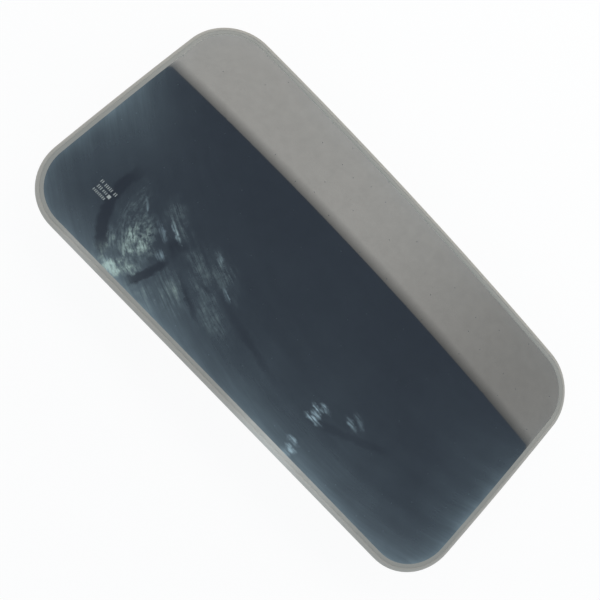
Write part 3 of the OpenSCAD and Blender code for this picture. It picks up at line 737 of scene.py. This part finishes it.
def lid_gasket():
    """Bulb seal: a flat foot under the lid frame and a soft bulb, flattened where it meets the coaming."""
    top, low, dent = -11.05, -18.6, 0.15
    foot_r, foot_out, foot_in, foot_t = 0.6, 35.6, 48.4, 1.6
    bulb_r, bulb_out, bulb_in, bulb_level = 3.0, 39.2, 44.8, -15.6
    upper, lower = top - foot_r, top - foot_t
    outer = arc(foot_out, upper, foot_r, 90, 180, 3) + arc(foot_out, lower, foot_r, 180, 270, 3)
    bulb_outer = arc(bulb_out, bulb_level, bulb_r, 140, 262, 10)
    flat = [(41.0, low), (42.0, low + dent), (43.0, low)]
    bulb_inner = arc(bulb_in, bulb_level, bulb_r, -82, 40, 10)
    inner = arc(foot_in, lower, foot_r, -90, 0, 3) + arc(foot_in, upper, foot_r, 0, 90, 3)
    section = outer + bulb_outer + flat + bulb_inner + inner
    sweep("bulb_seal", section, "seal_rubber", "lid_gasket")


# Mark on the glass: its corner on the lid, rows of ticks as (start, count, place up, height), and a square
MARK_CORNER = (-288, -118)
MARK_ROWS = [
    (0, 8, 0, 3.4),
    (1, 3, 6, 4.4),
    (10, 3, 6.5, 3.4),
    (-1, 2, 13.5, 4),
    (6.5, 5, 13, 4.4),
    (22, 2, 13, 4.4),
]
MARK_SQUARE = (18.5, 5.5, 4.5)
MARK_TICK = 1.0
MARK_PITCH = 2.6
MARK_T = 0.03


def glazing_mark():
    """Rows of plain even ticks and a square, fired on the glass where a mark would be."""
    bars = []
    for start, count, up, tall in MARK_ROWS:
        bars += [(start + i * MARK_PITCH, up, MARK_TICK, tall) for i in range(count)]
    x, y, side = MARK_SQUARE
    bars.append((x, y, side, side))
    box = [(3, 2, 1, 0), (4, 5, 6, 7)] + [(i, (i + 1) % 4, (i + 1) % 4 + 4, i + 4) for i in range(4)]
    left, front = MARK_CORNER
    verts = []
    faces = []
    for x, y, wide, tall in bars:
        faces += [tuple(len(verts) + i for i in face) for face in box]
        corners = [(x, y), (x + wide, y), (x + wide, y + tall), (x, y + tall)]
        verts += [crowned(left + u, front + v, level) for level in (-MARK_T, MARK_T) for u, v in corners]
    grey = enamel("fired_grey_enamel", "#989c98", "#b8bab4")
    piece("fired_mark", verts, faces, "lid", "tinted_glass", material=grey).data.shade_flat()


# Black border printed under the glass: its outer and inner edges, then rows of dots that thin it out
BORDER_OUT = GLASS_IN + GLASS_EASE + 0.1
BORDER_IN = 65
BORDER_T = 0.03
DOT_ROWS = [(68, 2.6), (72.5, 1.9), (76.5, 1.3)]
DOT_PITCH = 5
DOT_SIDES = 8


def border_dots(inset):
    """Centres of the dots of one row, evenly spaced along the outline drawn in by inset."""
    points = [Vector(p) for p in outline(inset)]
    ends = points[1:] + points[:1]
    lengths = [(b - a).length for a, b in zip(points, ends)]
    count = round(sum(lengths) / DOT_PITCH)
    step = sum(lengths) / count
    centres = []
    run = 0.0
    for a, b, length in zip(points, ends, lengths):
        while len(centres) * step < run + length and len(centres) < count:
            centres.append(a.lerp(b, (len(centres) * step - run) / length))
        run += length
    return centres


def printed_border():
    """Black enamel under the edge of the glass, which hides the adhesive and fades out in dots."""
    black = enamel("fired_black_enamel", "#0b0c0d", "#17181a")
    high = -GLASS_T
    low = high - BORDER_T
    section = [(BORDER_OUT, high), (BORDER_IN, high), (BORDER_IN, low), (BORDER_OUT, low)]
    obj = sweep("printed_border", section, "tinted_glass", material=black)
    bm = bmesh.new()
    bm.from_mesh(obj.data)
    turns = [2 * math.pi * i / DOT_SIDES for i in range(DOT_SIDES)]
    for inset, d in DOT_ROWS:
        for x, y in border_dots(inset):
            rim = [(x + d / 2 * math.cos(a), y + d / 2 * math.sin(a)) for a in turns]
            top, under = [[bm.verts.new(crowned(u, v, level)) for u, v in rim] for level in (high, low)]
            bm.faces.new(top)
            bm.faces.new(under[::-1])
            for i in range(DOT_SIDES):
                bm.faces.new((top[i - 1], under[i - 1], under[i], top[i]))
    bm.to_mesh(obj.data)
    bm.free()


# Handle, from its spindle, which stands this far in from its back end
SPINDLE_IN = 13.5
RING_SIDES = 28
# Lever: half its width at the hub, what it loses by its tip and at its waist, its top and under side
LEVER_L = 92
LEVER_BACK = -4
LEVER_HALF = 8.2
LEVER_TAPER = 4.6
LEVER_FLARE = 2.9
LEVER_WAIST = 1.2
WAIST_END = 1.6
LEVER_TOP = 7.7
LEVER_DIP = 1.7
DIP_EASE = 0.4
LEVER_UNDER = 0.25
LEVER_LIFT = 0.8
# Its rounded tip: length, and the shares of its width and depth that are left at the end
TIP_L = 9
TIP_WIDTH = 0.03
TIP_DEPTH = 0.55
# Its section is a circle drawn out to a rounded bar by this power
BAR_POWER = 0.6
# Ribs under the grip
GRIP_RIBS = 6
GRIP_PITCH = 4.6
GRIP_START = 56
GRIP_DEPTH = 0.9
# Hub, as (radius, height) from its under side to its top
HUB_R = 13.4
HUB_H = 10
HUB = [
    (6.4, 0.0),
    (9.6, 0.15),
    (12.0, 0.9),
    (13.1, 2.2),
    (HUB_R, 4.0),
    (HUB_R, HUB_H - 2.4),
    (12.9, HUB_H - 1.0),
    (11.6, HUB_H - 0.2),
    (9.0, HUB_H),
]
# Grain at which lever and hub are run into one, and how the blend is softened
BLEND_GRAIN = 0.65
SOFTEN_SHARE = 0.5
SOFTEN_TIMES = 6


def lever_ring(y, turns):
    """Cross-section of the lever at y: a rounded bar, waisted behind the hub, with ribs under the grip."""
    t = y / LEVER_L
    tip = max(0.0, (y - (LEVER_L - TIP_L)) / TIP_L)
    end = math.sqrt(max(0.0, 1 - tip * tip)) * (1 - TIP_WIDTH) + TIP_WIDTH
    waist = LEVER_WAIST * math.sin(math.pi * min(1, WAIST_END * t))
    half = (LEVER_HALF - LEVER_TAPER * t + LEVER_FLARE * t * t - waist) * end
    top = LEVER_TOP - LEVER_DIP * math.sin(math.pi * t) * (1 - DIP_EASE * t)
    under = LEVER_UNDER + LEVER_LIFT * t * t
    grip = (y - GRIP_START) / GRIP_PITCH
    if 0 <= grip <= GRIP_RIBS:
        under += GRIP_DEPTH / 2 * (1 - math.cos(2 * math.pi * grip))
    middle = (top + under) / 2
    deep = (top - under) / 2 * (TIP_DEPTH + (1 - TIP_DEPTH) * end)
    ring = []
    for a in turns:
        c, s = [math.copysign(abs(share) ** BAR_POWER, share) for share in (math.cos(a), math.sin(a))]
        ring.append((half * c, y, middle + deep * s))
    return ring


def moulded_handle(side):
    """Nylon lever moulded in one with its hub: the two forms run into each other."""
    low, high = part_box("handle_" + side)
    spindle = Vector(((low.x + high.x) / 2, low.y + SPINDLE_IN * MM, low.z))
    turns = [2 * math.pi * i / RING_SIDES for i in range(RING_SIDES)]
    lever = [lever_ring(y, turns) for y in range(LEVER_BACK, LEVER_L + 1)]
    hub = [[(r * math.cos(a), r * math.sin(a), z) for a in turns] for r, z in HUB]
    verts = []
    faces = []
    for form in (lever, hub):
        base = len(verts)
        last = base + (len(form) - 1) * RING_SIDES
        verts += [spindle + Vector(p) * MM for ring in form for p in ring]
        faces += [tuple(base + i for i in face) for face in ring_faces(len(form), RING_SIDES, False)]
        faces += [tuple(range(start, start + RING_SIDES)) for start in (base, last)]
    obj = piece("moulded_handle_" + side, verts, faces, side + "_handle", "handle_nylon", "handle_" + side)
    outwards(obj)
    modify(obj, "blend", "REMESH", mode="VOXEL", voxel_size=BLEND_GRAIN * MM, use_smooth_shade=True)
    modify(obj, "soften", "SMOOTH", factor=SOFTEN_SHARE, iterations=SOFTEN_TIMES)


glass_pane()
glazing_mark()
printed_border()
edge_moulding()
bonding_bead()
lid_gasket()
moulded_handle("left")
moulded_handle("right")

# Camera at the photograph's angle: place over the lid, height above its crown, turn in degrees, and lens
CAMERA_AT = (-57.0, -192.5)
CAMERA_UP = 738.3
CAMERA_TURN = (6.366, -11.344, 45.474)
CAMERA_LENS = 36.0
CAMERA_SENSOR = 36.0

camera = bpy.data.objects.new("camera", bpy.data.cameras.new("camera"))
camera.data.sensor_width = CAMERA_SENSOR
camera.data.lens = CAMERA_LENS
camera.location = [c * MM for c in (*CAMERA_AT, CAMERA_UP + CROWN_TOP)]
camera.rotation_euler = Euler([math.radians(a) for a in CAMERA_TURN])
bpy.context.scene.collection.objects.link(camera)
bpy.context.scene.camera = camera


# Stage, in metres. The floor's half side, and the share of plain white in what is seen of it
FLOOR_HALF = 20.0
FLOOR_WHITE = 0.93
# Ways in the room run from the middle of the lid. Heights there are 0 at the horizon and 1 overhead.
# The dark ceiling's middle leans from overhead by a degree to the right and by 14 to the back, and it is
# about three times as long as wide.
COOL_SIDE = (0.7, -0.7, 0)
CEILING_MIDDLE = (math.sin(math.radians(1)), math.sin(math.radians(14)), 0)
CEILING_SHAPE = (0.33, 1, 0)
# Sail: its light on the left and on the right, where it has these, and the share of it at the near edge
SAIL_LIGHT = (2.3, 1.4)
SAIL_ENDS = (-0.2, 1.5)
SAIL_EDGE_SHARE = 0.35
SAIL_STEPS = 24


def cleared(owner):
    """A material or world with no nodes yet."""
    owner.use_nodes = True
    owner.node_tree.nodes.clear()
    return owner


def pale_floor():
    """Floor that the camera, and gloss and glass, see as white, with the object's shadow left in."""
    mat = cleared(bpy.data.materials.new("pale_floor"))
    rays = add(mat, "LightPath").node.outputs
    seen = rays["Is Camera Ray"]
    for name in ("Is Glossy Ray", "Is Transmission Ray"):
        seen = add(mat, "Math", [seen, rays[name]], operation="MAXIMUM")
    share = add(mat, "Math", [seen, FLOOR_WHITE], operation="MULTIPLY")
    plain = add(mat, "BsdfDiffuse", {"Color": rgb("#fbfbfa")})
    white = add(mat, "Emission", {"Color": rgb("#ffffff"), "Strength": 1.0})
    add(mat, "OutputMaterial", {"Surface": add(mat, "MixShader", [share, plain, white])})
    corners = [(-1, -1), (1, -1), (1, 1), (-1, 1)]
    verts = [(x * FLOOR_HALF, y * FLOOR_HALF, 0) for x, y in corners]
    floor = mesh_object("floor", verts, [(0, 1, 2, 3)], mat)


def studio_sky():
    """Soft room light: white walls, cool on the right and in front and warm on the other side, cool grey
    overhead, with a long dark ceiling above the lid. The camera sees plain white."""
    world = cleared(bpy.data.worlds.new("studio"))
    way = add(world, "TexCoord", out="Generated")
    height = add(world, "SeparateXYZ", [way], "Z")
    side = add(world, "VectorMath", [way, COOL_SIDE], "Value", operation="DOT_PRODUCT")
    cool = add(world, "MapRange", [side, -0.8, 0.8], interpolation_type="SMOOTHSTEP")
    rise = add(world, "MapRange", [height, 0.2, 0.85], interpolation_type="SMOOTHSTEP")
    off = add(world, "VectorMath", [way, CEILING_MIDDLE], operation="SUBTRACT")
    drawn_in = add(world, "VectorMath", [off, CEILING_SHAPE], operation="MULTIPLY")
    away = add(world, "VectorMath", [drawn_in], "Value", operation="LENGTH")
    near = add(world, "MapRange", [away, 0.46, 0.24], interpolation_type="SMOOTHSTEP")
    high = add(world, "MapRange", [height, 0.3, 0.65], interpolation_type="SMOOTHSTEP")
    ceiling = add(world, "Math", [near, high], operation="MULTIPLY")
    seen = add(world, "LightPath", out="Is Camera Ray")
    tone = rgb("#fffdf8")
    for share, code in ((cool, "#f1f9ff"), (rise, "#bcd0e2"), (ceiling, "#7a889b"), (seen, "#ffffff")):
        ends = {0: share, COLOUR_A: tone, COLOUR_B: rgb(code)}
        tone = add(world, "Mix", ends, MIXED, data_type="RGBA")
    sky = add(world, "Background", {"Color": tone, "Strength": 1.0})
    add(world, "OutputWorld", {"Surface": sky})
    bpy.context.scene.world = world


def light_sail(height, reach, near_y, far_y, bow, fade):
    """Lit white sail above and behind the lid, dimmer to the right. Its near edge bows out and fades."""
    mat = cleared(bpy.data.materials.new("lit_sail"))
    x = add(mat, "SeparateXYZ", [add(mat, "TexCoord", out="Object")], "X")
    level = add(mat, "MapRange", [x, *SAIL_ENDS, *SAIL_LIGHT], interpolation_type="SMOOTHSTEP")
    share = add(mat, "Attribute", out="Fac", attribute_name="glow")
    power = add(mat, "Math", [level, share], operation="MULTIPLY")
    light = add(mat, "Emission", {"Color": rgb("#fffdf7"), "Strength": power})
    add(mat, "OutputMaterial", {"Surface": light})
    across = [reach * (2 * i / SAIL_STEPS - 1) for i in range(SAIL_STEPS + 1)]
    edge = [near_y - bow * (1 - (x / reach) ** 2) for x in across]
    rows = [edge, [y + fade for y in edge], [far_y] * len(across)]
    verts = [(x, y, height) for row in rows for x, y in zip(across, row)]
    count = len(across)
    faces = [(k, k + count, k + count + 1, k + 1) for k in range(2 * count) if (k + 1) % count]
    sail = mesh_object("light_sail", verts, faces, mat)
    measure(sail, "glow", [SAIL_EDGE_SHARE, 1.0, 1.0])
    sail.visible_camera = False


pale_floor()
studio_sky()
light_sail(height=1.7, reach=2.2, near_y=0.82, far_y=1.75, bow=0.1, fade=0.07)
bpy.context.scene.view_settings.view_transform = "Standard"
